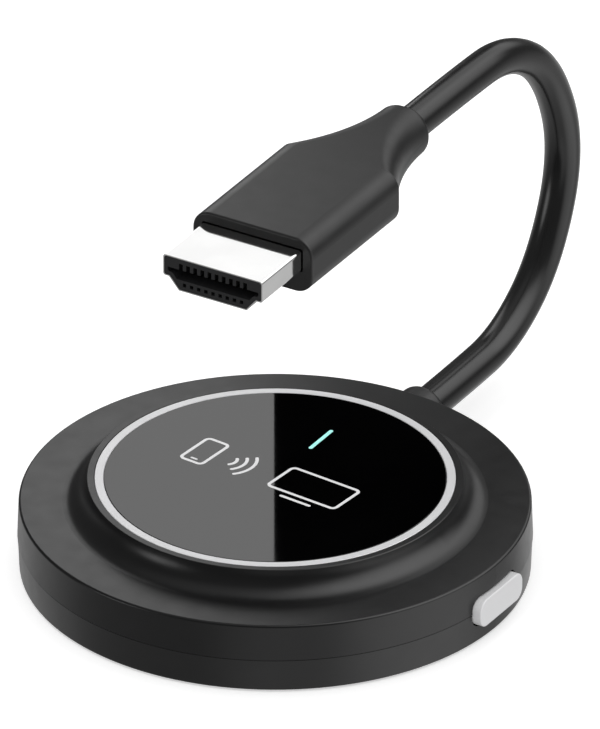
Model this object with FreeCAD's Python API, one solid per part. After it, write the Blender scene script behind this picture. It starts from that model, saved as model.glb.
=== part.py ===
"""Streaming media player: a flat round receiver with a captive video cord.

Millimetres, +Z up. The origin is the centre of the foot's underside, where the
housing stands. +Y points to where the cord leaves the housing, and +X to the key.
"""
import FreeCAD, Part
import math
import os

from FreeCAD import Vector

os.makedirs("parts", exist_ok=True)

# ---------------------------------------------------------------- driving dimensions
# Housing, measured upwards from the foot's underside
BODY_R = 31.22           # widest radius, at the seam
SEAM_STEP = 0.05         # the lower half stands back this much where the two meet
UPPER_DRAFT = 0.16       # how much the side wall narrows from the seam up to the rim
LOWER_DRAFT = 0.21       # how much it narrows from the seam down to the base
BASE_Z = 0.25            # underside of the bottom cover
SEAM_Z = 4.41            # where the two covers meet
RIM_Z = 9.17             # flat ring round the plateau
TOP_Z = 12.20            # plateau, trim ring and panel
PLATEAU_R = 22.8
SWEEP_R = 3.0            # concave sweep from the plateau down to the rim
RIM_EDGE_R = 0.30
WALL_R = 29.4            # inside of the side wall
FLOOR_Z = 1.65           # inside of the floor
CEILING_Z = 7.70         # underside of the rim
SHELF_Z = 11.0           # seat of the panel and the ring
SHELF_UNDER_Z = 9.8
LIP_R = 30.1             # outside of the lower cover's locating lip
LIP_TOP_Z = 5.2
FIT = 0.10               # gap between parts that locate each other
CLOSE_FIT = 0.03         # gap between parts that are pressed or stuck together
WALL_CUT = (28.5, 33.0)  # openings run from inside the wall to clear of it

# Top panel and its trim
RECESS_R = 21.93
RING_OUTER_R = 21.85
RING_INNER_R = 20.77
PANEL_R = 20.73
PANEL_UNDER_Z = 11.2
ADHESIVE_INNER_R = 16.5
ADHESIVE_OUTER_R = 20.4

# Status light
LIGHT_Y = 10.75
LIGHT_LENGTH = 5.3
LIGHT_WIDTH = 0.5
PIPE_LENGTH = 6.2
PIPE_WIDTH = 1.6

# Foot and screws
FOOT_R = 28.9
FOOT_RECESS_Z = 0.8
COVER_SCREW_R = 26.4     # pitch radius of the four cover screws
BOSS_R = 2.6
SCREW_R = 0.98
COVER_HEAD_R = 1.9
COVER_HEAD_Z = (1.0, 2.2)
COVER_SCREW_TIP_Z = 7.0
HEAD_HOLE_R = 2.05
BOARD_HEAD_R = 1.75
BOARD_HEAD_HEIGHT = 1.1
BOARD_SCREW_TIP_Z = 1.1
POST_R = 2.2
CROSS_DEPTH = 0.6        # cross slot in a screw's head: depth, half length, half width
CROSS_REACH = 0.95
CROSS_HALF_WIDTH = 0.18
SCREW_HOLE_R = 1.0
CLEARANCE_HOLE_R = 1.15

# Main board
BOARD_Z0 = 2.6
BOARD_Z1 = 3.4
BOARD_R = 26.5
BOARD_SCREWS = [(11.0, 20.5), (-11.0, 20.5), (12.0, -20.0), (-12.0, -20.0)]
SOC = (2.0, -6.0, 11.0, 11.0, 1.2)      # centre x, centre y, size x, size y, height
SPREADER_Z0 = 5.6
SPREADER_Z1 = 6.4

# Side key and its switch
KEY_Z = SEAM_Z
KEY_LENGTH = 9.85
KEY_HEIGHT = 3.65
KEY_CORNER_R = 1.45
KEY_FACE_X = 31.9
KEY_GAP = 0.2            # clearance round the key in the wall
KEY_FLANGE_X = (27.75, 28.5)
KEY_NUB_X = 27.05
PLUNGER_TIP_X = 27.0

# Power inlet, on the side away from the key
INLET_Z = BOARD_Z1 + 1.63
INLET_WIDTH = 8.94
INLET_HEIGHT = 3.26
INLET_MOUTH_X = -30.2
INLET_DEPTH = 7.3
INLET_WALL = 0.25
INLET_CONTACTS = 12      # on each face of the tongue
INLET_PITCH = 0.5
TONGUE_HALF_WIDTH = 3.35
TONGUE_HALF_HEIGHT = 0.35
STRIP_HALF_WIDTH = 0.13
STRIP_THICKNESS = 0.07

# Cord and its collar
CORD_R = 2.235
CORD_Z = 4.71
COLLAR_R = 3.25
COLLAR_END_Y = 35.3
CORD_INNER_Y = 25.5      # where the jacket is stripped inside the housing

# Video plug, pointing along -Y over the housing
PLUG_Z = 45.78
TAIL_Y = 30.9            # end of the hood's strain relief
MOUTH_Y = -14.5          # open end of the metal shell
SHELL_END_Y = 0.5
SHELL_HALF_WIDTH = 6.95
SHELL_HALF_HEIGHT = 2.225
SHELL_STEP_X = 5.85      # where the lower half steps in
SHELL_STEP_Z = -0.62
SHELL_BASE_X = 4.75      # half width of the narrow side
SHELL_WALL = 0.3
SHELL_LIP = 0.14         # the wall is this thin round the mouth
SHELL_LIP_DEPTH = 0.6
SLOT_WALL = 0.3          # insulator left round the ends of the mating slot
HOOD_FRONT_Y = -5.3
HOOD_SHOULDER_Y = 15.0
HOOD_WIDTH = 16.85
HOOD_HEIGHT = 7.3
HOOD_CORNER_R = 2.5
NECK_Y = 29.7
NECK_WIDTH = 7.2
NECK_HEIGHT = 6.75
NECK_CORNER_R = 3.3
MOULD_Y = (-2.0, 15.5)   # inner mould that grips the shell and the cord
MOULD_WIDTH = 14.5
MOULD_HEIGHT = 5.5
CONTACT_PITCH = 1.0
UPPER_CONTACTS = 10
LOWER_CONTACTS = 9

# Route of the free cord in the plane x = 0, as (y, height above the collar's axis)
CORD_RISE = PLUG_Z - CORD_Z
CORD_ROUTE = [
    (COLLAR_END_Y, 0.0),
    (43.5, 0.0),
    (54.5, 0.4),
    (64.3, 7.0),
    (69.6, 20.5),
    (64.3, 34.0),
    (54.5, CORD_RISE - 0.4),
    (43.5, CORD_RISE),
    (TAIL_Y, CORD_RISE),
]


# ---------------------------------------------------------------- helpers
def box(x_range, y_range, z_range):
    """Block between the given ranges."""
    corner = Vector(x_range[0], y_range[0], z_range[0])
    return Part.makeBox(x_range[1] - x_range[0], y_range[1] - y_range[0],
                        z_range[1] - z_range[0], corner)


def chip(x, y, size_x, size_y, height):
    """Component standing on the board."""
    return box((x - size_x / 2, x + size_x / 2), (y - size_y / 2, y + size_y / 2),
               (BOARD_Z1, BOARD_Z1 + height))


def cylinder_z(radius, z0, z1, x=0.0, y=0.0):
    """Upright cylinder between two heights."""
    return Part.makeCylinder(radius, z1 - z0, Vector(x, y, z0))


def cylinder_y(radius, y0, y1, z):
    """Cylinder along Y in the plane x = 0."""
    return Part.makeCylinder(radius, y1 - y0, Vector(0, y0, z), Vector(0, 1, 0))


def ring_z(outer, inner, z0, z1):
    """Flat ring about the Z axis."""
    return cylinder_z(outer, z0, z1).cut(cylinder_z(inner, z0 - 1, z1 + 1))


def profile_face(points, to_space):
    """Face from a list of plane points; an (x, y, (mx, my)) entry ends an arc through (mx, my)."""
    edges = []
    start = to_space(*points[-1][:2])
    for point in points:
        end = to_space(*point[:2])
        if len(point) == 3:
            middle = to_space(*point[2])
            edges.append(Part.Arc(start, middle, end).toShape())
        else:
            edges.append(Part.LineSegment(start, end).toShape())
        start = end
    return Part.Face(Part.Wire(edges))


def revolve(points):
    """Solid of revolution about Z from (radius, z) points."""
    face = profile_face(points, lambda r, z: Vector(r, 0, z))
    return face.revolve(Vector(0, 0, 0), Vector(0, 0, 1), 360)


def corner_arc(centre, radius, start_angle, end_angle):
    """End point and middle point of an arc, as profile_face wants them."""
    middle_angle = math.radians((start_angle + end_angle) / 2)
    end = math.radians(end_angle)
    return (centre[0] + radius * math.cos(end), centre[1] + radius * math.sin(end),
            (centre[0] + radius * math.cos(middle_angle), centre[1] + radius * math.sin(middle_angle)))


def rounded_rectangle(width, height, radius):
    """Outline points of a rounded rectangle about the origin of its plane."""
    u = width / 2 - radius
    v = height / 2 - radius
    points = []
    for cu, cv, angle in [(u, v, 0), (-u, v, 90), (-u, -v, 180), (u, -v, 270)]:
        begin = math.radians(angle)
        points.append((cu + radius * math.cos(begin), cv + radius * math.sin(begin)))
        points.append(corner_arc((cu, cv), radius, angle, angle + 90))
    return points


def rounded_bar_x(width, height, radius, x0, x1, y, z):
    """Rounded bar along X: width runs along Y and height along Z."""
    face = profile_face(rounded_rectangle(width, height, radius),
                        lambda u, v: Vector(x0, y + u, z + v))
    return face.extrude(Vector(x1 - x0, 0, 0))


def rounded_bar_y(width, height, radius, y0, y1, z):
    """Rounded bar along Y: width runs along X and height along Z."""
    face = profile_face(rounded_rectangle(width, height, radius),
                        lambda u, v: Vector(u, y0, z + v))
    return face.extrude(Vector(0, y1 - y0, 0))


def slot_z(width, length, x, y, z0, z1):
    """Round-ended bar standing on end, long along Y."""
    face = profile_face(rounded_rectangle(width, length, width / 2 - 0.001),
                        lambda u, v: Vector(x + u, y + v, z0))
    return face.extrude(Vector(0, 0, z1 - z0))


def edges_at(shape, test):
    """Edges whose every vertex passes the test."""
    return [edge for edge in shape.Edges if all(test(vertex.Point) for vertex in edge.Vertexes)]


def fuse_all(shapes):
    """One solid from several that touch."""
    result = shapes[0].multiFuse(shapes[1:])
    return result.removeSplitter()


def cut_all(shape, tools):
    """Shape with every tool taken out of it."""
    return shape.cut(tools)


def around(radius, count, first_angle):
    """Points spaced evenly on a circle."""
    angles = [math.radians(first_angle + 360.0 * i / count) for i in range(count)]
    return [(radius * math.cos(angle), radius * math.sin(angle)) for angle in angles]


def write(node, shapes):
    """Write one node, a single solid or a group of separate solids."""
    shape = shapes if isinstance(shapes, Part.Shape) else Part.makeCompound(shapes)
    for solid in shape.Solids:
        if not solid.isValid():
            print("not valid:", node)
    shape.exportStep("parts/%s.step" % node)
    print("%-22s solids %3d  volume %9.2f" % (node, len(shape.Solids), shape.Volume))


# ---------------------------------------------------------------- openings shared by both covers
COVER_SCREWS = around(COVER_SCREW_R, 4, 45.0)


def wall_openings():
    """Openings through the side wall: the key, the cord's collar and the power inlet."""
    key = rounded_bar_x(KEY_LENGTH + 2 * KEY_GAP, KEY_HEIGHT + 2 * KEY_GAP,
                        KEY_CORNER_R + KEY_GAP, *WALL_CUT, 0.0, KEY_Z)
    collar = cylinder_y(COLLAR_R + FIT, *WALL_CUT, CORD_Z)
    inlet_height = INLET_HEIGHT + 0.4
    inlet = rounded_bar_x(INLET_WIDTH + 0.4, inlet_height, inlet_height / 2 - 0.001,
                          -WALL_CUT[1], -WALL_CUT[0], 0.0, INLET_Z)
    return [key, collar, inlet]


# ---------------------------------------------------------------- housing
def top_cover():
    """Upper cover: side wall, flat rim, concave sweep and the plateau with the panel's recess."""
    edge = RIM_EDGE_R
    rim_r = BODY_R - UPPER_DRAFT
    foot_r = PLATEAU_R + SWEEP_R
    sweep = corner_arc((foot_r, TOP_Z), SWEEP_R, 270, 181.5)
    lip_gap = LIP_R + FIT
    profile = [
        (BODY_R - 2 * SEAM_STEP, SEAM_Z),
        (BODY_R, SEAM_Z + 2 * SEAM_STEP),
        (rim_r, RIM_Z - edge),
        corner_arc((rim_r - edge, RIM_Z - edge), edge, 0, 90),
        (foot_r, TOP_Z - SWEEP_R),
        sweep,
        (PLATEAU_R - 0.08, TOP_Z),
        (RECESS_R, TOP_Z),
        (RECESS_R, SHELF_Z),
        (0.0, SHELF_Z),
        (0.0, SHELF_UNDER_Z),
        (22.0, SHELF_UNDER_Z),
        (24.6, CEILING_Z),
        (WALL_R, CEILING_Z),
        (WALL_R, LIP_TOP_Z + FIT),
        (lip_gap, LIP_TOP_Z + FIT),
        (lip_gap, SEAM_Z),
    ]
    shell = revolve(profile)
    bosses = [cylinder_z(BOSS_R - 0.3, SEAM_Z, CEILING_Z + 0.2, x, y) for x, y in COVER_SCREWS]
    shell = fuse_all([shell] + bosses)
    holes = [cylinder_z(SCREW_HOLE_R, SEAM_Z - 1, 7.2, x, y) for x, y in COVER_SCREWS]
    window = box((-PIPE_WIDTH / 2 - FIT, PIPE_WIDTH / 2 + FIT),
                 (LIGHT_Y - PIPE_LENGTH / 2 - FIT, LIGHT_Y + PIPE_LENGTH / 2 + FIT),
                 (SHELF_UNDER_Z - 1, SHELF_Z + 1))
    return cut_all(shell, holes + [window] + wall_openings())


def bottom_cover():
    """Lower cover: floor, side wall with a locating lip, screw columns and board posts."""
    base_r = BODY_R - LOWER_DRAFT
    profile = [
        (base_r - 0.25, BASE_Z),
        corner_arc((base_r - 0.25, BASE_Z + 0.25), 0.25, 270, 360),
        (BODY_R - SEAM_STEP, SEAM_Z),
        (LIP_R, SEAM_Z),
        (LIP_R, LIP_TOP_Z),
        (WALL_R, LIP_TOP_Z),
        (WALL_R, FLOOR_Z),
        (0.0, FLOOR_Z),
        (0.0, BASE_Z),
    ]
    shell = revolve(profile)
    columns = [cylinder_z(BOSS_R, FLOOR_Z - 0.2, SEAM_Z, x, y) for x, y in COVER_SCREWS]
    posts = [cylinder_z(POST_R, FLOOR_Z - 0.2, BOARD_Z0, x, y) for x, y in BOARD_SCREWS]
    shell = fuse_all([shell] + columns + posts)
    recess = cylinder_z(FOOT_R + FIT, BASE_Z - 1, FOOT_RECESS_Z)
    tools = [recess] + wall_openings()
    for x, y in COVER_SCREWS:
        tools.append(cylinder_z(HEAD_HOLE_R, 0.0, COVER_HEAD_Z[1], x, y))
        tools.append(cylinder_z(CLEARANCE_HOLE_R, 2.0, 6.0, x, y))
    for x, y in BOARD_SCREWS:
        tools.append(cylinder_z(SCREW_HOLE_R, 1.0, 3.0, x, y))
    return cut_all(shell, tools)


def rubber_foot():
    """Non-slip disc in the underside's recess; it hides the cover screws."""
    return revolve([
        (0.0, FOOT_RECESS_Z),
        (0.0, 0.0),
        (FOOT_R - 0.1, 0.0),
        (FOOT_R, 0.1),
        (FOOT_R, FOOT_RECESS_Z),
    ])


def cross_recess(x, y, z_face, direction):
    """Cross slot sunk into a screw head; direction is +1 for a head that faces up."""
    low, high = sorted((z_face - direction * CROSS_DEPTH, z_face + direction * 0.5))
    long_x = (x - CROSS_REACH, x + CROSS_REACH)
    long_y = (y - CROSS_REACH, y + CROSS_REACH)
    thin_x = (x - CROSS_HALF_WIDTH, x + CROSS_HALF_WIDTH)
    thin_y = (y - CROSS_HALF_WIDTH, y + CROSS_HALF_WIDTH)
    blade_x = box(long_x, thin_y, (low, high))
    blade_y = box(thin_x, long_y, (low, high))
    return [blade_x, blade_y]


def cover_screws():
    """Four screws driven up from under the foot into the top cover's bosses."""
    screws = []
    for x, y in COVER_SCREWS:
        head = cylinder_z(COVER_HEAD_R, *COVER_HEAD_Z, x, y)
        shank = cylinder_z(SCREW_R, COVER_HEAD_Z[1], COVER_SCREW_TIP_Z, x, y)
        screws.append(fuse_all([head, shank]).cut(cross_recess(x, y, COVER_HEAD_Z[0], -1)))
    return screws


def board_screws():
    """Four screws that hold the board down on the bottom cover's posts."""
    screws = []
    for x, y in BOARD_SCREWS:
        head = cylinder_z(BOARD_HEAD_R, BOARD_Z1, BOARD_Z1 + BOARD_HEAD_HEIGHT, x, y)
        shank = cylinder_z(SCREW_R, BOARD_SCREW_TIP_Z, BOARD_Z1, x, y)
        screws.append(fuse_all([head, shank]).cut(cross_recess(x, y, BOARD_Z1 + BOARD_HEAD_HEIGHT, 1)))
    return screws


# ---------------------------------------------------------------- top panel
def trim_ring():
    """Bright ring round the panel, with broken edges."""
    bevel = 0.06
    return revolve([
        (RING_INNER_R, SHELF_Z),
        (RING_OUTER_R, SHELF_Z),
        (RING_OUTER_R, TOP_Z - bevel),
        (RING_OUTER_R - bevel, TOP_Z),
        (RING_INNER_R + bevel, TOP_Z),
        (RING_INNER_R, TOP_Z - bevel),
    ])


def face_panel():
    """Glossy black disc with the slit for the status light."""
    disc = revolve([
        (0.0, PANEL_UNDER_Z),
        (PANEL_R, PANEL_UNDER_Z),
        (PANEL_R, TOP_Z - 0.06),
        (PANEL_R - 0.06, TOP_Z),
        (0.0, TOP_Z),
    ])
    slit = slot_z(LIGHT_WIDTH + 2 * CLOSE_FIT, LIGHT_LENGTH + 2 * CLOSE_FIT, 0.0, LIGHT_Y,
                  PANEL_UNDER_Z - 1, TOP_Z + 1)
    return disc.cut(slit)


def panel_adhesive():
    """Ring of double-sided tape under the panel."""
    return ring_z(ADHESIVE_OUTER_R, ADHESIVE_INNER_R, SHELF_Z, PANEL_UNDER_Z)


def light_pipe():
    """Clear bar that carries the status light up to the slit in the panel."""
    body = box((-PIPE_WIDTH / 2, PIPE_WIDTH / 2),
               (LIGHT_Y - PIPE_LENGTH / 2, LIGHT_Y + PIPE_LENGTH / 2),
               (BOARD_Z1 + 0.9, SHELF_Z))
    blade = slot_z(LIGHT_WIDTH, LIGHT_LENGTH, 0.0, LIGHT_Y, SHELF_Z - 0.2, TOP_Z)
    return fuse_all([body, blade])


# ---------------------------------------------------------------- board and what stands on it
def main_board():
    """Round board, notched for the screw columns, the cord's collar and the key."""
    board = cylinder_z(BOARD_R, BOARD_Z0, BOARD_Z1)
    tools = [cylinder_z(BOSS_R + 0.4, 0, 9, x, y) for x, y in COVER_SCREWS]
    tools.append(box((-6.5, 6.5), (23.4, 40.0), (0, 9)))
    for x, y in BOARD_SCREWS:
        tools.append(cylinder_z(CLEARANCE_HOLE_R, 0, 9, x, y))
    return cut_all(board, tools)


def memory_chips():
    """Two memory packages beside the processor."""
    return [chip(-8.6, y, 8.0, 8.6, 0.9) for y in (-11.0, -1.2)]


def wireless_can():
    """Tinned screening can over the radio, with a row of vent holes."""
    can = chip(12.0, 10.5, 12.0, 10.0, 1.8)
    inside = box((6.2, 17.8), (5.7, 15.3), (BOARD_Z1 - 1, BOARD_Z1 + 1.6))
    vents = [cylinder_z(0.45, BOARD_Z1 + 1, BOARD_Z1 + 3, 8.0 + 2.0 * i, 13.5) for i in range(5)]
    return cut_all(can, [inside] + vents)


def antennas():
    """Two ceramic aerials at the board's edge."""
    return [chip(-20.5, 11.0, 2.0, 7.0, 1.0), chip(21.0, -9.5, 2.0, 7.0, 1.0)]


def inductors():
    """Power inductors behind the inlet."""
    coils = []
    for y in (-6.0, 0.0, 6.0):
        block = chip(-17.5, y, 3.6, 3.6, 1.8)
        upright = edges_at(block, lambda p: True)
        upright = [edge for edge in upright if abs(edge.tangentAt(edge.FirstParameter).z) > 0.9]
        coils.append(block.makeFillet(0.6, upright))
    return coils


def chip_capacitors():
    """Rows of small capacitors round the processor and by the cord's solder bar."""
    front_row = [chip(-2.5 + 2.0 * i, -13.6, 0.8, 1.6, 0.8) for i in range(6)]
    back_row = [chip(-5.0 + 2.5 * i, 17.4, 1.6, 0.8, 0.8) for i in range(5)]
    side_row = [chip(-21.0, -8.0 - 1.6 * i, 1.6, 0.8, 0.8) for i in range(3)]
    return front_row + back_row + side_row


def status_led():
    """Two surface-mounted emitters under the light pipe."""
    return [chip(0.0, LIGHT_Y + offset, 0.8, 1.6, 0.6) for offset in (-1.5, 1.5)]


def thermal_pad():
    """Soft pad between the processor and the heat spreader."""
    x, y, size_x, size_y, height = SOC
    return box((x - size_x / 2, x + size_x / 2), (y - size_y / 2, y + size_y / 2),
               (BOARD_Z1 + height, SPREADER_Z0))


def heat_spreader():
    """Aluminium plate over the processor, on four bent legs."""
    plate = box((-13.0, 13.0), (-17.0, 5.0), (SPREADER_Z0, SPREADER_Z1))
    legs = []
    for x in (-13.0, 11.0):
        for y in (-17.0, 4.2):
            legs.append(box((x, x + 2.0), (y, y + 0.8), (BOARD_Z1, SPREADER_Z0 + 0.2)))
    return fuse_all([plate] + legs)


# ---------------------------------------------------------------- side key
def side_button():
    """Pale key in the side wall: flat face, broken edges, retaining flange and a nub behind."""
    cap = rounded_bar_x(KEY_LENGTH, KEY_HEIGHT, KEY_CORNER_R, KEY_FLANGE_X[1] - 0.2, KEY_FACE_X,
                        0.0, KEY_Z)
    front = edges_at(cap, lambda p: p.x > KEY_FACE_X - 0.01)
    cap = cap.makeFillet(0.16, front)
    flange = rounded_bar_x(12.0, 4.4, 1.5, KEY_FLANGE_X[0], KEY_FLANGE_X[1], 0.0, KEY_Z)
    nub = box((KEY_NUB_X, KEY_FLANGE_X[0] + 0.2), (-1.2, 1.2), (KEY_Z - 0.7, KEY_Z + 0.7))
    return fuse_all([cap, flange, nub])


def tact_switch_body():
    """Side-acting switch on the board, open towards the key."""
    body = box((22.8, 26.2), (-2.4, 2.4), (BOARD_Z1, BOARD_Z1 + 2.3))
    pocket = box((24.4, 27.0), (-1.1, 1.1), (KEY_Z - 0.55, KEY_Z + 0.55))
    return body.cut(pocket)


def tact_switch_plunger():
    """The switch's sliding plunger."""
    return box((24.9, PLUNGER_TIP_X), (-1.0, 1.0), (KEY_Z - 0.45, KEY_Z + 0.45))


# ---------------------------------------------------------------- power inlet
def inlet_outline(shrink, x0, x1):
    """Round-ended bar of the inlet's outline, made smaller by shrink on every side."""
    width = INLET_WIDTH - 2 * shrink
    height = INLET_HEIGHT - 2 * shrink
    return rounded_bar_x(width, height, height / 2 - 0.001, x0, x1, 0.0, INLET_Z)


def power_inlet_shell():
    """Drawn metal shell of the power inlet, closed behind."""
    back_x = INLET_MOUTH_X + INLET_DEPTH
    outer = inlet_outline(0.0, INLET_MOUTH_X, back_x)
    inner = inlet_outline(INLET_WALL, INLET_MOUTH_X - 1, back_x - 1.0)
    return outer.cut(inner)


def power_inlet_tongue():
    """Plastic tongue that carries the inlet's contacts."""
    back_x = INLET_MOUTH_X + INLET_DEPTH - 1.0
    block = inlet_outline(INLET_WALL + CLOSE_FIT, back_x - 1.2, back_x)
    blade = box((INLET_MOUTH_X + 0.7, back_x - 1.0), (-TONGUE_HALF_WIDTH, TONGUE_HALF_WIDTH),
                (INLET_Z - TONGUE_HALF_HEIGHT, INLET_Z + TONGUE_HALF_HEIGHT))
    return fuse_all([block, blade])


def power_inlet_contacts():
    """Twelve gold strips on each face of the tongue."""
    strips = []
    x_range = (INLET_MOUTH_X + 1.2, INLET_MOUTH_X + INLET_DEPTH - 2.3)
    face = TONGUE_HALF_HEIGHT
    back = face + STRIP_THICKNESS
    for i in range(INLET_CONTACTS):
        y = (i - (INLET_CONTACTS - 1) / 2) * INLET_PITCH
        y_range = (y - STRIP_HALF_WIDTH, y + STRIP_HALF_WIDTH)
        strips.append(box(x_range, y_range, (INLET_Z + face, INLET_Z + back)))
        strips.append(box(x_range, y_range, (INLET_Z - back, INLET_Z - face)))
    return strips


# ---------------------------------------------------------------- cord
def cord_gland():
    """Moulded collar through the wall, with a rectangular flange held inside the covers."""
    collar = cylinder_y(COLLAR_R, 28.8, COLLAR_END_Y, CORD_Z)
    rim = edges_at(collar, lambda p: p.y > COLLAR_END_Y - 0.01)
    rim = [edge for edge in rim if abs(edge.tangentAt(edge.FirstParameter).y) < 0.1]
    collar = collar.makeFillet(0.85, rim)
    flange = rounded_bar_y(10.0, 5.6, 1.0, 27.0, 28.9, CORD_Z)
    return fuse_all([collar, flange]).cut(cylinder_y(CORD_R, 20.0, 40.0, CORD_Z))


def cord_inner_end():
    """The jacket's stretch inside the collar."""
    return cylinder_y(CORD_R, CORD_INNER_Y, COLLAR_END_Y, CORD_Z)


def cord_wires():
    """Conductors that fan out from the stripped jacket to the solder bar."""
    wires = []
    for i in range(-2, 3):
        start = Vector(0.75 * i, CORD_INNER_Y - 0.15, CORD_Z)
        end = Vector(1.5 * i, 21.0, 4.35)
        wires.append(Part.makeCylinder(0.33, (end - start).Length, start, end - start))
    return wires


def cord_solder_bar():
    """Solder bar on the board where the conductors end."""
    return box((-4.2, 4.2), (20.4, 22.2), (BOARD_Z1, BOARD_Z1 + 0.5))


def route_points():
    """Corners of the free cord's route."""
    return [Vector(0, y, CORD_Z + rise) for y, rise in CORD_ROUTE]


def route_wire(points):
    """Straight runs joined by tangent arcs, each as large as its two runs allow."""
    edges = []
    radii = []
    start = points[0]
    for before, corner, after in zip(points, points[1:], points[2:]):
        into = corner - before
        out = after - corner
        shorter = min(into.Length, out.Length)
        half_turn = into.getAngle(out) / 2
        tangent_length = 0.45 * shorter
        radii.append(tangent_length / math.tan(half_turn))
        into.normalize()
        out.normalize()
        arc_start = corner - into * tangent_length
        arc_end = corner + out * tangent_length
        to_centre = out - into
        to_centre.normalize()
        centre = corner + to_centre * (radii[-1] / math.cos(half_turn))
        middle = centre - to_centre * radii[-1]
        edges.append(Part.LineSegment(start, arc_start).toShape())
        edges.append(Part.Arc(arc_start, middle, arc_end).toShape())
        start = arc_end
    edges.append(Part.LineSegment(start, points[-1]).toShape())
    print("cord radii:", ", ".join("%.1f" % radius for radius in radii))
    return Part.Wire(edges)


def cord_jacket():
    """The free cord, a round tube along its route."""
    path = route_wire(route_points())
    section = Part.Wire(Part.makeCircle(CORD_R, Vector(0, COLLAR_END_Y, CORD_Z), Vector(0, 1, 0)))
    tube = path.makePipeShell([section], True, False)
    expected = math.pi * CORD_R ** 2 * path.Length
    print("cord length %.2f  volume %.1f  section x length %.1f" % (path.Length, tube.Volume, expected))
    return tube


# ---------------------------------------------------------------- video plug
def plug_outline(shrink):
    """Outline of the plug's shell about its axis: wide side up, stepped in below."""
    half = SHELL_HALF_WIDTH - shrink
    top = SHELL_HALF_HEIGHT - shrink
    step_x = SHELL_STEP_X - shrink * 0.6
    step_z = SHELL_STEP_Z + shrink
    base_x = SHELL_BASE_X - shrink * 0.45
    right = [
        (base_x, -top),
        (step_x, step_z - 0.35 + shrink * 0.2),
        (step_x + 0.3, step_z),
        (half - 0.3, step_z),
        corner_arc((half - 0.3, step_z + 0.3), 0.3, 270, 360),
        (half, top - 0.35),
        corner_arc((half - 0.35, top - 0.35), 0.35, 0, 90),
    ]
    left = [
        (-half + 0.35, top),
        corner_arc((-half + 0.35, top - 0.35), 0.35, 90, 180),
        (-half, step_z + 0.3),
        corner_arc((-half + 0.3, step_z + 0.3), 0.3, 180, 270),
        (-step_x - 0.3, step_z),
        (-step_x, step_z - 0.35 + shrink * 0.2),
        (-base_x, -top),
    ]
    return right + left


def plug_bar(shrink, y0, y1):
    """Bar of the plug's outline along Y."""
    face = profile_face(plug_outline(shrink), lambda u, v: Vector(u, y0, PLUG_Z + v))
    return face.extrude(Vector(0, y1 - y0, 0))


def plug_shell():
    """Bright formed shell of the plug, open at both ends and thinned round its mouth."""
    bore = plug_bar(SHELL_WALL, MOUTH_Y - 1, SHELL_END_Y + 1)
    mouth = plug_bar(SHELL_LIP, MOUTH_Y - 1, MOUTH_Y + SHELL_LIP_DEPTH)
    return cut_all(plug_bar(0.0, MOUTH_Y, SHELL_END_Y), [bore, mouth])


def contact_places(count):
    """Distances of a row's contacts from the plug's middle."""
    return [(i - (count - 1) / 2) * CONTACT_PITCH for i in range(count)]


def plug_insulator():
    """Black block in the shell with the mating slot and a channel for every contact."""
    front_y = MOUTH_Y + 0.06
    core = plug_bar(SHELL_WALL + CLOSE_FIT, front_y, SHELL_END_Y - 0.5)
    brim = plug_bar(SHELL_LIP + CLOSE_FIT, front_y, MOUTH_Y + SHELL_LIP_DEPTH - CLOSE_FIT)
    block = fuse_all([core, brim])
    slot = plug_bar(SHELL_WALL + SLOT_WALL, front_y - 1, -5.6)
    slot = slot.common(box((-7.0, 7.0), (front_y - 1, -5.6), (PLUG_Z - 0.77, PLUG_Z + 0.6)))
    tools = [slot]
    for x in contact_places(UPPER_CONTACTS):
        tools.append(box((x - 0.27, x + 0.27), (front_y - 1, 2.0), (PLUG_Z + 0.3, PLUG_Z + 1.42)))
    for x in contact_places(LOWER_CONTACTS):
        tools.append(box((x - 0.24, x + 0.24), (front_y - 1, -12.0), (PLUG_Z - 1.62, PLUG_Z - 1.12)))
        tools.append(box((x - 0.24, x + 0.24), (-12.5, 2.0), (PLUG_Z - 1.62, PLUG_Z - 0.3)))
    return cut_all(block, tools)


def contact_blade(x, half_width, side, front_y, front_z):
    """One contact: tail on the plug's board, step, long spring arm with a bump, and its tip."""
    thick = 0.18
    outline = [
        (5.0, 0.4), (1.2, 0.4), (0.5, front_z - thick), (-8.5, front_z - thick),
        (-9.6, front_z - thick - 0.35), (-10.7, front_z - thick), (front_y, front_z - thick),
        (front_y, front_z), (0.42, front_z), (1.12, 0.4 + thick), (5.0, 0.4 + thick),
    ]
    face = profile_face(outline, lambda u, v: Vector(x - half_width, u, PLUG_Z + side * v))
    return face.extrude(Vector(2 * half_width, 0, 0))


def plug_contacts():
    """Ten upper and nine lower contacts."""
    upper = [contact_blade(x, 0.2, 1, -13.7, 1.12) for x in contact_places(UPPER_CONTACTS)]
    lower = [contact_blade(x, 0.18, -1, -12.6, 1.42) for x in contact_places(LOWER_CONTACTS)]
    return upper + lower


def plug_board():
    """Small board between the contact tails, where the conductors are soldered."""
    return box((-5.5, 5.5), (0.9, 9.0), (PLUG_Z - 0.4, PLUG_Z + 0.4))


def plug_wires():
    """Conductors from the cord to the plug's board, over and under it."""
    wires = []
    for i in range(-2, 3):
        for side in (-1, 1):
            start = Vector(0.75 * i, 11.3, PLUG_Z + side * 0.8)
            end = Vector(2.0 * i, 7.0, PLUG_Z + side * 0.8)
            wires.append(Part.makeCylinder(0.3, (end - start).Length, start, end - start))
    return wires


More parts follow.
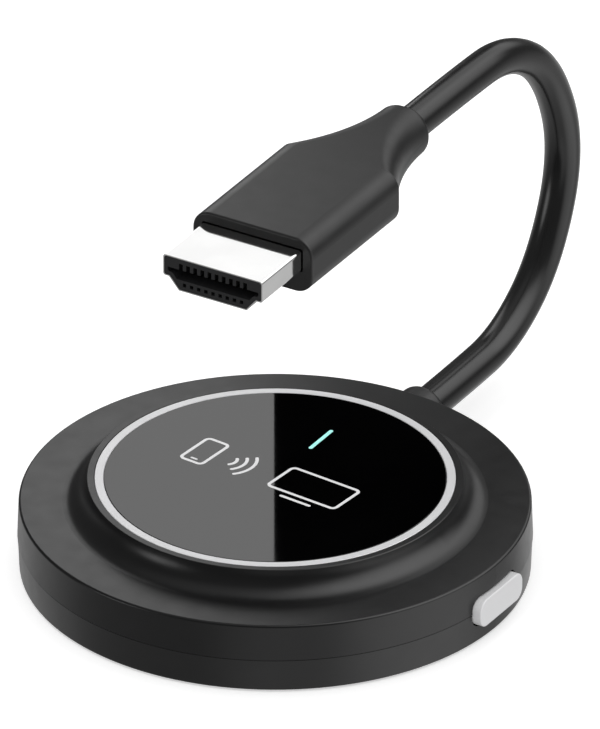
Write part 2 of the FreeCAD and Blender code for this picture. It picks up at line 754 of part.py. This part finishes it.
def plug_inner_mould():
    """Stiff inner mould that grips the shell, the small board and the end of the cord."""
    block = rounded_bar_y(MOULD_WIDTH, MOULD_HEIGHT, 1.4, MOULD_Y[0], MOULD_Y[1], PLUG_Z)
    grip = plug_bar(-0.02, MOULD_Y[0] - 1, SHELL_END_Y + 0.02)
    room = box((-6.0, 6.0), (SHELL_END_Y - 0.2, 11.5), (PLUG_Z - 1.5, PLUG_Z + 1.5))
    return cut_all(block, [grip, room, cylinder_y(CORD_R + CLOSE_FIT, 11.0, 20.0, PLUG_Z)])


def cord_plug_end():
    """The jacket's stretch inside the plug."""
    return cylinder_y(CORD_R, 11.5, TAIL_Y, PLUG_Z)


def hood_half_width(y):
    """Plan outline of the hood behind its shoulder: one arc that runs out along the neck."""
    narrowing = (HOOD_WIDTH - NECK_WIDTH) / 2
    taper_length = NECK_Y - HOOD_SHOULDER_Y
    arc_r = (narrowing ** 2 + taper_length ** 2) / (2 * narrowing)
    return NECK_WIDTH / 2 + arc_r - math.sqrt(arc_r ** 2 - (NECK_Y - y) ** 2)


def hood_section(y):
    """Cross-section of the hood's taper at y."""
    along = (y - HOOD_SHOULDER_Y) / (NECK_Y - HOOD_SHOULDER_Y)
    height = HOOD_HEIGHT + (NECK_HEIGHT - HOOD_HEIGHT) * along
    corner = HOOD_CORNER_R + (NECK_CORNER_R - HOOD_CORNER_R) * along
    face = profile_face(rounded_rectangle(2 * hood_half_width(y), height, corner),
                        lambda u, v: Vector(u, y, PLUG_Z + v))
    return face.OuterWire


def plug_hood():
    """Moulded grip: a rounded block, a waisted taper and a round strain relief."""
    block = rounded_bar_y(HOOD_WIDTH, HOOD_HEIGHT, HOOD_CORNER_R, HOOD_FRONT_Y, HOOD_SHOULDER_Y, PLUG_Z)
    front = edges_at(block, lambda p: p.y < HOOD_FRONT_Y + 0.01)
    block = block.makeFillet(0.3, front)
    stations = [HOOD_SHOULDER_Y, 16.5, 18.0, 19.6, 21.4, 23.4, 25.4, 27.4, NECK_Y]
    taper = Part.makeLoft([hood_section(y) for y in stations], True, False)
    neck = rounded_bar_y(NECK_WIDTH, NECK_HEIGHT, NECK_CORNER_R, NECK_Y, TAIL_Y, PLUG_Z)
    tail = edges_at(neck, lambda p: p.y > TAIL_Y - 0.01)
    neck = neck.makeFillet(1.08, tail)
    body = block.fuse([taper, neck])
    mouth = plug_bar(-0.14, HOOD_FRONT_Y - 1, MOULD_Y[0] + 0.1)
    cavity = rounded_bar_y(MOULD_WIDTH, MOULD_HEIGHT, 1.4, MOULD_Y[0], MOULD_Y[1], PLUG_Z)
    return cut_all(body, [mouth, cavity, cylinder_y(CORD_R, 12.0, 40.0, PLUG_Z)])


# ---------------------------------------------------------------- all nodes
NODES = {
    "top_cover": top_cover,
    "bottom_cover": bottom_cover,
    "rubber_foot": rubber_foot,
    "cover_screws": cover_screws,
    "board_screws": board_screws,
    "trim_ring": trim_ring,
    "face_panel": face_panel,
    "panel_adhesive": panel_adhesive,
    "light_pipe": light_pipe,
    "main_board": main_board,
    "soc_chip": lambda: chip(*SOC),
    "memory_chips": memory_chips,
    "flash_chip": lambda: chip(13.6, -5.6, 9.6, 9.6, 1.0),
    "wireless_can": wireless_can,
    "antennas": antennas,
    "crystal": lambda: chip(2.0, 2.2, 3.2, 2.5, 0.7),
    "inductors": inductors,
    "chip_capacitors": chip_capacitors,
    "status_led": status_led,
    "thermal_pad": thermal_pad,
    "heat_spreader": heat_spreader,
    "side_button": side_button,
    "tact_switch_body": tact_switch_body,
    "tact_switch_plunger": tact_switch_plunger,
    "power_inlet_shell": power_inlet_shell,
    "power_inlet_tongue": power_inlet_tongue,
    "power_inlet_contacts": power_inlet_contacts,
    "cord_gland": cord_gland,
    "cord_inner_end": cord_inner_end,
    "cord_wires": cord_wires,
    "cord_solder_bar": cord_solder_bar,
    "cord_jacket": cord_jacket,
    "cord_plug_end": cord_plug_end,
    "plug_hood": plug_hood,
    "plug_inner_mould": plug_inner_mould,
    "plug_shell": plug_shell,
    "plug_insulator": plug_insulator,
    "plug_contacts": plug_contacts,
    "plug_board": plug_board,
    "plug_wires": plug_wires,
}

for node_name, make_node in NODES.items():
    write(node_name, make_node())
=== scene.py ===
"""Looks of the streaming media player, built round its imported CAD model. Metres, +Z up."""
import math

import bpy
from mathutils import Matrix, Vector


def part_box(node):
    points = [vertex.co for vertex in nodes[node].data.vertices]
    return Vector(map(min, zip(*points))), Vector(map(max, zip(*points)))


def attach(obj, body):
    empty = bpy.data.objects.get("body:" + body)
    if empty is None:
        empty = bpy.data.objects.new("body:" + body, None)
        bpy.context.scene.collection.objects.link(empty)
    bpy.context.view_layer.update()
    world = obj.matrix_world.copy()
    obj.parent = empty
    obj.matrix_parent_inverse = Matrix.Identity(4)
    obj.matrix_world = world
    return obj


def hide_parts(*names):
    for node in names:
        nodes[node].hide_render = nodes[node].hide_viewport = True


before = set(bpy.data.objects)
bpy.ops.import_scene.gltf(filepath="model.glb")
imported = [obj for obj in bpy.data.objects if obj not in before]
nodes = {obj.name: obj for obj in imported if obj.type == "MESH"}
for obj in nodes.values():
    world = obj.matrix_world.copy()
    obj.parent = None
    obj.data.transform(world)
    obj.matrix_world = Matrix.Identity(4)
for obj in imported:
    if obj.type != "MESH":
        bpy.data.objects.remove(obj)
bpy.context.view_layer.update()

MM = 0.001


# ---------------------------------------------------------------- node helpers
def new_material(name):
    """Empty node material; returns it with its nodes, links and Principled shader."""
    material = bpy.data.materials.new(name)
    material.use_nodes = True
    tree = material.node_tree
    shader = tree.nodes["Principled BSDF"]
    return material, tree, shader


def add_node(tree, kind, **values):
    """Node with its settings and unlinked inputs filled in."""
    node = tree.nodes.new(kind)
    for key, value in values.items():
        if key.startswith("in_"):
            slot = key[3:].replace("_", " ")
            node.inputs[int(slot) if slot.isdigit() else slot].default_value = value
        else:
            setattr(node, key, value)
    return node


def object_noise(tree, scale, detail=2.0, stretch=(1.0, 1.0, 1.0), roughness=0.5):
    """Noise in the object's own space, optionally stretched along an axis."""
    place = add_node(tree, "ShaderNodeTexCoord")
    mapping = add_node(tree, "ShaderNodeMapping", in_Scale=stretch)
    noise = add_node(tree, "ShaderNodeTexNoise", in_Scale=scale, in_Detail=detail, in_Roughness=roughness)
    tree.links.new(place.outputs["Object"], mapping.inputs["Vector"])
    tree.links.new(mapping.outputs["Vector"], noise.inputs["Vector"])
    return noise.outputs["Fac"]


def remap(tree, value, low, high, from_low=0.3, from_high=0.7):
    """Value stretched onto a new range."""
    node = add_node(tree, "ShaderNodeMapRange")
    node.inputs["From Min"].default_value = from_low
    node.inputs["From Max"].default_value = from_high
    node.inputs["To Min"].default_value = low
    node.inputs["To Max"].default_value = high
    tree.links.new(value, node.inputs["Value"])
    return node.outputs["Result"]


def colour_between(tree, value, dark, light):
    """Colour that runs from dark to light with a value round its middle."""
    ramp = add_node(tree, "ShaderNodeValToRGB")
    ramp.color_ramp.elements[0].position = 0.3
    ramp.color_ramp.elements[0].color = (*dark, 1.0)
    ramp.color_ramp.elements[1].position = 0.7
    ramp.color_ramp.elements[1].color = (*light, 1.0)
    tree.links.new(value, ramp.inputs["Fac"])
    return ramp.outputs["Color"]


def add_bump(tree, shader, heights, depth):
    """Bump from one or more height values added together; depth is in metres."""
    total = heights[0]
    for height in heights[1:]:
        add = add_node(tree, "ShaderNodeMath", operation="ADD")
        tree.links.new(total, add.inputs[0])
        tree.links.new(height, add.inputs[1])
        total = add.outputs[0]
    bump = add_node(tree, "ShaderNodeBump", in_Strength=1.0, in_Distance=depth)
    tree.links.new(total, bump.inputs["Height"])
    tree.links.new(bump.outputs["Normal"], shader.inputs["Normal"])


def moulded(name, colour, rough, spread=0.10, grain=9000.0, depth=2e-6, specular=0.5, vary=0.08):
    """Moulded plastic or rubber: fine spark grain, slow colour drift and uneven sheen."""
    material, tree, shader = new_material(name)
    fine = object_noise(tree, grain, 2.0)
    slow = object_noise(tree, 90.0, 3.0)
    dark = [channel * (1 - vary) for channel in colour]
    light = [channel * (1 + vary) for channel in colour]
    tree.links.new(colour_between(tree, slow, dark, light), shader.inputs["Base Color"])
    patchy = object_noise(tree, 420.0, 4.0)
    tree.links.new(remap(tree, patchy, rough - spread / 2, rough + spread / 2), shader.inputs["Roughness"])
    shader.inputs["Specular IOR Level"].default_value = specular
    add_bump(tree, shader, [fine], depth)
    return material


def metal(name, colour, rough, spread=0.08, brush=(1.0, 1.0, 1.0), grain=2500.0, depth=6e-7,
          metallic=1.0):
    """Plated, blasted or brushed metal; brush stretches the grain along an axis."""
    material, tree, shader = new_material(name)
    shader.inputs["Metallic"].default_value = metallic
    streaks = object_noise(tree, grain, 3.0, brush)
    slow = object_noise(tree, 140.0, 3.0)
    dark = [channel * 0.93 for channel in colour]
    tree.links.new(colour_between(tree, slow, dark, colour), shader.inputs["Base Color"])
    tree.links.new(remap(tree, streaks, rough - spread / 2, rough + spread / 2), shader.inputs["Roughness"])
    add_bump(tree, shader, [streaks], depth)
    return material


def paint(node, material):
    """Give a CAD node its material."""
    piece = nodes[node]
    piece.data.materials.clear()
    piece.data.materials.append(material)


# ---------------------------------------------------------------- materials of the CAD nodes
def housing_material():
    """Charcoal satin plastic of both covers."""
    return moulded("housing_plastic", (0.006, 0.006, 0.0062), 0.30, spread=0.05)


def panel_material():
    """Polished black panel with the faintest haze."""
    material, tree, shader = new_material("panel_gloss")
    haze = object_noise(tree, 60.0, 4.0)
    colour = colour_between(tree, haze, (0.0006, 0.0006, 0.0007), (0.0012, 0.0012, 0.0013))
    tree.links.new(colour, shader.inputs["Base Color"])
    tree.links.new(remap(tree, haze, 0.015, 0.03), shader.inputs["Roughness"])
    shader.inputs["IOR"].default_value = 1.5
    return material


def light_material():
    """Frosted light pipe, lit teal."""
    material, tree, shader = new_material("light_clear")
    frost = object_noise(tree, 3000.0, 2.0)
    colour = colour_between(tree, frost, (0.30, 0.86, 0.80), (0.45, 0.95, 0.90))
    tree.links.new(colour, shader.inputs["Base Color"])
    tree.links.new(colour, shader.inputs["Emission Color"])
    shader.inputs["Emission Strength"].default_value = 0.28
    shader.inputs["Roughness"].default_value = 0.4
    return material


def board_material(name):
    """Green solder mask with copper pours showing through as lighter tracks."""
    material, tree, shader = new_material(name)
    tracks = object_noise(tree, 700.0, 0.0, (1.0, 3.0, 1.0))
    colour = colour_between(tree, tracks, (0.006, 0.045, 0.018), (0.015, 0.11, 0.04))
    tree.links.new(colour, shader.inputs["Base Color"])
    tree.links.new(remap(tree, tracks, 0.2, 0.35), shader.inputs["Roughness"])
    add_bump(tree, shader, [tracks], 1.5e-5)
    return material


def capacitor_material():
    """Brown fired ceramic, mottled."""
    material, tree, shader = new_material("capacitor")
    fired = object_noise(tree, 1500.0, 3.0)
    colour = colour_between(tree, fired, (0.24, 0.15, 0.08), (0.42, 0.30, 0.19))
    tree.links.new(colour, shader.inputs["Base Color"])
    tree.links.new(remap(tree, fired, 0.3, 0.5), shader.inputs["Roughness"])
    return material


WIRE_COLOURS = [(0.45, 0.03, 0.02), (0.6, 0.25, 0.02), (0.03, 0.25, 0.05), (0.02, 0.08, 0.4), (0.5, 0.5, 0.5)]
WIRE_SPREAD = 3.2 * MM    # half the width over which the conductors fan out


def wire_material():
    """Conductors in mixed insulation colours, by their place across the cord."""
    material, tree, shader = new_material("wire_insulation")
    place = add_node(tree, "ShaderNodeTexCoord")
    split = add_node(tree, "ShaderNodeSeparateXYZ")
    tree.links.new(place.outputs["Object"], split.inputs["Vector"])
    across = remap(tree, split.outputs["X"], 0.0, 1.0, -WIRE_SPREAD, WIRE_SPREAD)
    ramp = add_node(tree, "ShaderNodeValToRGB")
    ramp.color_ramp.interpolation = "CONSTANT"
    stops = ramp.color_ramp.elements
    stops[1].position = 1 / len(WIRE_COLOURS)
    while len(stops) < len(WIRE_COLOURS):
        stops.new(len(stops) / len(WIRE_COLOURS))
    for stop, colour in zip(stops, WIRE_COLOURS):
        stop.color = (*colour, 1.0)
    tree.links.new(across, ramp.inputs["Fac"])
    tree.links.new(ramp.outputs["Color"], shader.inputs["Base Color"])
    fine = object_noise(tree, 2000.0, 2.0)
    tree.links.new(remap(tree, fine, 0.35, 0.5), shader.inputs["Roughness"])
    return material


def housing_looks():
    """Materials of the housing, its panel, its key and its fasteners."""
    housing = housing_material()
    steel = metal("screw_steel", (0.55, 0.55, 0.56), 0.3)
    return {
        "top_cover": housing,
        "bottom_cover": housing,
        "rubber_foot": moulded("foot_rubber", (0.02, 0.02, 0.021), 0.75, grain=2500.0, depth=1e-5),
        "cover_screws": steel,
        "board_screws": steel,
        "trim_ring": metal("trim_metal", (0.84, 0.84, 0.85), 0.5, metallic=0.3, grain=7000.0, depth=1e-6),
        "face_panel": panel_material(),
        "panel_adhesive": moulded("tape", (0.05, 0.05, 0.05), 0.8),
        "light_pipe": light_material(),
        "side_button": moulded("key_plastic", (0.88, 0.88, 0.89), 0.38, spread=0.05, vary=0.02, depth=5e-7),
    }


def board_looks(board):
    """Materials of the board and of what stands on it."""
    epoxy = moulded("chip_epoxy", (0.018, 0.018, 0.019), 0.5, grain=4000.0)
    tin = metal("can_tin", (0.72, 0.72, 0.70), 0.28)
    return {
        "main_board": board,
        "soc_chip": epoxy,
        "memory_chips": epoxy,
        "flash_chip": epoxy,
        "wireless_can": tin,
        "antennas": moulded("ceramic", (0.55, 0.53, 0.47), 0.5),
        "crystal": tin,
        "inductors": moulded("ferrite", (0.08, 0.08, 0.085), 0.6, grain=3000.0, depth=6e-6),
        "chip_capacitors": capacitor_material(),
        "status_led": moulded("led_clear", (0.8, 0.75, 0.35), 0.2),
        "thermal_pad": moulded("gap_pad", (0.32, 0.42, 0.5), 0.7),
        "heat_spreader": metal("spreader_metal", (0.72, 0.72, 0.73), 0.35, brush=(0.1, 1.0, 1.0)),
        "tact_switch_body": moulded("switch_plastic", (0.04, 0.04, 0.04), 0.45),
        "tact_switch_plunger": moulded("plunger_plastic", (0.6, 0.6, 0.58), 0.4),
    }


def connector_looks(board):
    """Materials of the power inlet, the cord's ends and the video plug."""
    nickel = metal("shell_nickel", (0.95, 0.95, 0.945), 0.09, spread=0.03, brush=(1.0, 0.15, 1.0), depth=1e-8)
    plastic = moulded("connector_plastic", (0.014, 0.014, 0.015), 0.45, spread=0.08, specular=0.4)
    gold = metal("contact_gold", (0.83, 0.62, 0.26), 0.22)
    wires = wire_material()
    hood = moulded("hood_pvc", (0.012, 0.012, 0.012), 0.38, spread=0.06)
    cord_end = moulded("cord_end_pvc", (0.012, 0.012, 0.012), 0.25)
    return {
        "power_inlet_shell": nickel,
        "power_inlet_tongue": plastic,
        "power_inlet_contacts": gold,
        "cord_gland": hood,
        "cord_inner_end": cord_end,
        "cord_wires": wires,
        "cord_solder_bar": metal("solder", (0.75, 0.75, 0.75), 0.25),
        "cord_plug_end": cord_end,
        "plug_hood": hood,
        "plug_inner_mould": moulded("inner_pe", (0.7, 0.7, 0.68), 0.45),
        "plug_shell": nickel,
        "plug_insulator": plastic,
        "plug_contacts": gold,
        "plug_board": board,
        "plug_wires": wires,
    }


def paint_nodes():
    """Material for every CAD node."""
    board = board_material("board_mask")
    looks = {**housing_looks(), **board_looks(board), **connector_looks(board)}
    for node, material in looks.items():
        paint(node, material)


# ---------------------------------------------------------------- the cord
# Route of the free cord in the plane x = 0, as (y, height above the collar's axis), in millimetres
CORD_RISE = 41.07
CORD_ROUTE = [
    (35.3, 0.0),
    (43.5, 0.0),
    (54.5, 0.4),
    (64.3, 7.0),
    (69.6, 20.5),
    (64.3, 34.0),
    (54.5, CORD_RISE - 0.4),
    (43.5, CORD_RISE),
    (30.9, CORD_RISE),
]


def cord_material():
    """Satin black jacket."""
    return moulded("cord_pvc", (0.012, 0.012, 0.012), 0.23, spread=0.04, grain=5000.0, depth=1.0e-6)


def make_cord():
    """The free cord: one round curve from the collar to the plug's tail."""
    low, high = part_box("cord_inner_end")
    axis_z = (low[2] + high[2]) / 2
    diameter = high[2] - low[2]
    data = bpy.data.curves.new("cord", "CURVE")
    data.dimensions = "3D"
    data.bevel_depth = diameter / 2
    data.bevel_resolution = 12
    data.resolution_u = 24
    data.use_fill_caps = True
    spline = data.splines.new("NURBS")
    spline.points.add(len(CORD_ROUTE) - 1)
    for point, (y, rise) in zip(spline.points, CORD_ROUTE):
        point.co = (0.0, y * MM, axis_z + rise * MM, 1.0)
    spline.order_u = 3
    spline.use_endpoint_u = True
    cord = bpy.data.objects.new("cord", data)
    bpy.context.collection.objects.link(cord)
    data.materials.append(cord_material())
    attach(cord, "housing")
    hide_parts("cord_jacket")


# ---------------------------------------------------------------- printed pictogram on the panel
# Generic print across the panel, in millimetres before it is turned: handset, waves, screen
PRINT_STROKE = 0.42
PRINT_INK = 0.012
PRINT_TURN = math.radians(-5.3)
WAVE_CENTRE = (-7.3, 0.0)
WAVE_RADII = [1.3, 2.5, 3.7]
WAVE_HALF_ANGLE = 40.0
HANDSET_CENTRE = (-10.6, 0.0)
SCREEN_CENTRE = (5.4, 0.5)
CORNER_RADIUS = 0.8


def arc_points(centre, radius, start, end, steps):
    """Points along an arc; angles in degrees."""
    angles = [math.radians(start + (end - start) * step / steps) for step in range(steps + 1)]
    return [(centre[0] + radius * math.cos(angle), centre[1] + radius * math.sin(angle)) for angle in angles]


def rounded_outline(centre, width, height, radius):
    """Closed outline of a rounded rectangle."""
    points = []
    for side_x, side_y, start in [(1, 1, 0), (-1, 1, 90), (-1, -1, 180), (1, -1, 270)]:
        corner = (centre[0] + side_x * (width / 2 - radius), centre[1] + side_y * (height / 2 - radius))
        points += arc_points(corner, radius, start, start + 90, 8)
    return points


def frame_outlines(centre, width, height, radius):
    """Outer and inner outline of a rounded frame one stroke wide."""
    inner = rounded_outline(centre, width - 2 * PRINT_STROKE, height - 2 * PRINT_STROKE,
                            radius - PRINT_STROKE)
    return [rounded_outline(centre, width, height, radius), inner]


def wave_outline(centre, radius):
    """Closed outline of one round-ended wave."""
    half = PRINT_STROKE / 2
    turn = WAVE_HALF_ANGLE
    far_end, near_end = (arc_points(centre, radius, side * turn, side * turn, 1)[0] for side in (1, -1))
    return (arc_points(centre, radius + half, -turn, turn, 24)
            + arc_points(far_end, half, turn, turn + 180, 8)[1:-1]
            + arc_points(centre, radius - half, turn, -turn, 24)
            + arc_points(near_end, half, 180 - turn, 360 - turn, 8)[1:-1])


def print_outlines():
    """Handset with its key, three waves, and a screen over its foot."""
    x, y = HANDSET_CENTRE
    outlines = frame_outlines(HANDSET_CENTRE, 3.6, 6.2, CORNER_RADIUS)
    outlines.append(rounded_outline((x, y - 2.15), 1.0, 0.3, 0.14))
    outlines += [wave_outline(WAVE_CENTRE, radius) for radius in WAVE_RADII]
    x, y = SCREEN_CENTRE
    outlines += frame_outlines(SCREEN_CENTRE, 10.4, 5.8, CORNER_RADIUS)
    outlines.append(rounded_outline((x, y - 3.8), 4.6, PRINT_STROKE, 0.2))
    return outlines


def make_print():
    """Thin raised ink on the panel."""
    data = bpy.data.curves.new("panel_print", "CURVE")
    data.dimensions = "2D"
    data.fill_mode = "BOTH"
    data.extrude = PRINT_INK / 2 * MM
    cos_turn, sin_turn = math.cos(PRINT_TURN), math.sin(PRINT_TURN)
    for outline in print_outlines():
        spline = data.splines.new("POLY")
        spline.points.add(len(outline) - 1)
        spline.use_cyclic_u = True
        for point, (x, y) in zip(spline.points, outline):
            turned = (x * cos_turn - y * sin_turn, x * sin_turn + y * cos_turn)
            point.co = (turned[0] * MM, turned[1] * MM, 0.0, 1.0)
    print_piece = bpy.data.objects.new("panel_print", data)
    bpy.context.collection.objects.link(print_piece)
    print_piece.location.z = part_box("face_panel")[1][2] + PRINT_INK / 2 * MM
    data.materials.append(moulded("print_ink", (0.92, 0.92, 0.93), 0.5, vary=0.02, depth=2e-7))
    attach(print_piece, "housing")


# ---------------------------------------------------------------- camera, floor and lights
AZIMUTH = math.radians(31.0)
ELEVATION = math.radians(29.3)
VIEW_HEIGHT = 0.0883      # what the frame takes in, at the object
AIM_RIGHT = 0.003
AIM_UP = 0.024
LENS = 1350.0
SENSOR = 36.0
FLOOR_HALF_SIZE = 3.0
FLOOR_GAP = 0.00003
RIGHT = Vector((math.cos(AZIMUTH), math.sin(AZIMUTH), 0.0))
AWAY = Vector((-math.sin(AZIMUTH), math.cos(AZIMUTH), 0.0))


def make_camera():
    """Long lens, so that the view is all but parallel."""
    look = AWAY * math.cos(ELEVATION) - Vector((0, 0, 1)) * math.sin(ELEVATION)
    up = AWAY * math.sin(ELEVATION) + Vector((0, 0, 1)) * math.cos(ELEVATION)
    distance = VIEW_HEIGHT * LENS / SENSOR
    base = Vector((0.0, 0.0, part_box("bottom_cover")[0][2]))
    target = base + RIGHT * AIM_RIGHT + up * AIM_UP
    data = bpy.data.cameras.new("camera")
    data.lens = LENS
    data.sensor_width = SENSOR
    data.clip_start = 0.1
    data.clip_end = 100.0
    camera = bpy.data.objects.new("camera", data)
    bpy.context.collection.objects.link(camera)
    camera.location = target - look * distance
    camera.rotation_mode = "QUATERNION"
    camera.rotation_quaternion = look.to_track_quat("-Z", "Y")
    bpy.context.scene.camera = camera


def plane(name, corners, material):
    """Flat card from its four corners; part of the stage."""
    mesh = bpy.data.meshes.new(name)
    mesh.from_pydata([tuple(corner) for corner in corners], [], [(0, 1, 2, 3)])
    mesh.materials.append(material)
    card = bpy.data.objects.new(name, mesh)
    bpy.context.collection.objects.link(card)
    return card


def glow(name, colour, strength):
    """Plain emitter for a light card."""
    material = bpy.data.materials.new(name)
    material.use_nodes = True
    tree = material.node_tree
    tree.nodes.clear()
    emitter = add_node(tree, "ShaderNodeEmission", in_Color=(*colour, 1.0), in_Strength=strength)
    output = add_node(tree, "ShaderNodeOutputMaterial")
    tree.links.new(emitter.outputs[0], output.inputs["Surface"])
    return material


def back_card(name, right, heights, strength):
    """Upright card behind the object, between two places along RIGHT and two heights."""
    behind = AWAY * CARD_DISTANCE
    low, high = (Vector((0, 0, height)) for height in heights)
    left_side, right_side = (behind + RIGHT * place for place in right)
    corners = [left_side + low, right_side + low, right_side + high, left_side + high]
    card = plane(name, corners, glow(name, (1, 1, 1), strength))
    card.visible_camera = False
    card.visible_diffuse = False
    card.visible_shadow = False


def make_floor():
    """Pale floor a hair under the foot, open from below; its slight glow keeps the shadow soft."""
    material, tree, shader = new_material("floor")
    speckle = object_noise(tree, 30.0, 2.0)
    pale = colour_between(tree, speckle, (0.89, 0.89, 0.89), (0.9, 0.9, 0.9))
    tree.links.new(pale, shader.inputs["Base Color"])
    shader.inputs["Roughness"].default_value = 1.0
    shader.inputs["Specular IOR Level"].default_value = 0.0
    shader.inputs["Emission Color"].default_value = (1, 1, 1, 1)
    shader.inputs["Emission Strength"].default_value = 0.45
    side = add_node(tree, "ShaderNodeNewGeometry")
    clear = add_node(tree, "ShaderNodeBsdfTransparent")
    mix = add_node(tree, "ShaderNodeMixShader")
    tree.links.new(side.outputs["Backfacing"], mix.inputs[0])
    tree.links.new(shader.outputs[0], mix.inputs[1])
    tree.links.new(clear.outputs[0], mix.inputs[2])
    tree.links.new(mix.outputs[0], tree.nodes["Material Output"].inputs["Surface"])
    size, z = FLOOR_HALF_SIZE, -FLOOR_GAP
    floor = plane("floor", [(-size, -size, z), (size, -size, z), (size, size, z), (-size, size, z)], material)
    floor.visible_glossy = False
    floor.visible_diffuse = False


# Soft lights of the reflected studio: (right, away, up), half angle in degrees, strength
SOFT_LIGHTS = [
    ((0.9, 0.0, 1.0), 48.0, 2.9),       # key, high on the right
    ((0.0, 0.0, 1.0), 45.0, 0.4),       # ceiling
    ((0.4, 0.85, 0.55), 28.0, 1.3),     # behind on the right
    ((0.3, 0.85, -0.5), 25.0, 0.6),     # floor behind on the right
    ((0.8, 0.4, -0.5), 35.0, 0.25),     # floor on the right
    ((1.0, -0.5, -0.45), 45.0, 1.3),    # floor in front on the right
    ((0.0, -0.9, -0.45), 28.0, 0.5),    # floor in front
    ((-0.6, 0.6, -0.5), 40.0, 0.4),     # floor behind on the left
    ((-0.93, -0.34, 0.1), 16.0, 3.0),   # small light on the left, a streak on the cord
    ((0.0, 0.0, -1.0), 90.0, 0.55),     # floor all round
]
AMBIENT = 0.1


def soft_light_sum(tree, direction):
    """Strength of the reflected studio in a direction."""
    total = None
    for place, half_angle, strength in SOFT_LIGHTS:
        axis = (RIGHT * place[0] + AWAY * place[1] + Vector((0, 0, place[2]))).normalized()
        dot = add_node(tree, "ShaderNodeVectorMath", operation="DOT_PRODUCT")
        tree.links.new(direction, dot.inputs[0])
        dot.inputs[1].default_value = axis
        fall = add_node(tree, "ShaderNodeMapRange", interpolation_type="SMOOTHSTEP")
        fall.inputs["From Min"].default_value = math.cos(math.radians(half_angle))
        fall.inputs["From Max"].default_value = 1.0
        fall.inputs["To Max"].default_value = strength
        tree.links.new(dot.outputs["Value"], fall.inputs["Value"])
        add = add_node(tree, "ShaderNodeMath", operation="ADD")
        if total is None:
            add.inputs[0].default_value = AMBIENT
        else:
            tree.links.new(total, add.inputs[0])
        tree.links.new(fall.outputs["Result"], add.inputs[1])
        total = add.outputs[0]
    return total


HORIZON_SOFTNESS = 0.02
DOME_BELOW = 0.7
DOME_ABOVE = 1.2
BACKDROP = 1.5


def make_world():
    """Pale dome for the camera and matt surfaces; soft lights on a dim ground for reflections."""
    world = bpy.data.worlds.new("studio")
    bpy.context.scene.world = world
    world.use_nodes = True
    tree = world.node_tree
    tree.nodes.clear()
    direction = add_node(tree, "ShaderNodeTexCoord").outputs["Generated"]
    split = add_node(tree, "ShaderNodeSeparateXYZ")
    tree.links.new(direction, split.inputs["Vector"])
    height = split.outputs["Z"]
    brightness = remap(tree, height, DOME_BELOW, DOME_ABOVE, -HORIZON_SOFTNESS, HORIZON_SOFTNESS)
    dome = add_node(tree, "ShaderNodeBackground")
    tree.links.new(brightness, dome.inputs["Strength"])
    reflected = add_node(tree, "ShaderNodeBackground")
    tree.links.new(soft_light_sum(tree, direction), reflected.inputs["Strength"])
    backdrop = add_node(tree, "ShaderNodeBackground", in_Strength=BACKDROP)
    rays = add_node(tree, "ShaderNodeLightPath")
    glossy = add_node(tree, "ShaderNodeMixShader")
    tree.links.new(rays.outputs["Is Glossy Ray"], glossy.inputs[0])
    tree.links.new(dome.outputs[0], glossy.inputs[1])
    tree.links.new(reflected.outputs[0], glossy.inputs[2])
    seen = add_node(tree, "ShaderNodeMixShader")
    tree.links.new(rays.outputs["Is Camera Ray"], seen.inputs[0])
    tree.links.new(glossy.outputs[0], seen.inputs[1])
    tree.links.new(backdrop.outputs[0], seen.inputs[2])
    output = add_node(tree, "ShaderNodeOutputWorld")
    tree.links.new(seen.outputs[0], output.inputs["Surface"])


CARD_DISTANCE = 0.15
PANEL_SPLIT = -0.0003     # place along RIGHT where the panel's mirrored grey meets black


def make_stage():
    """Floor, dome, and the cards that the flat tops mirror."""
    make_floor()
    make_world()
    back_card("card_grey", (-0.06, PANEL_SPLIT), (0.06, 0.122), 1.6)
    back_card("card_black", (PANEL_SPLIT, 0.045), (0.078, 0.115), 0.0)
    back_card("card_white", (-0.05, 0.05), (0.126, 0.165), 1.05)
    bpy.context.scene.view_settings.view_transform = "Standard"


paint_nodes()
make_cord()
make_print()
make_camera()
make_stage()
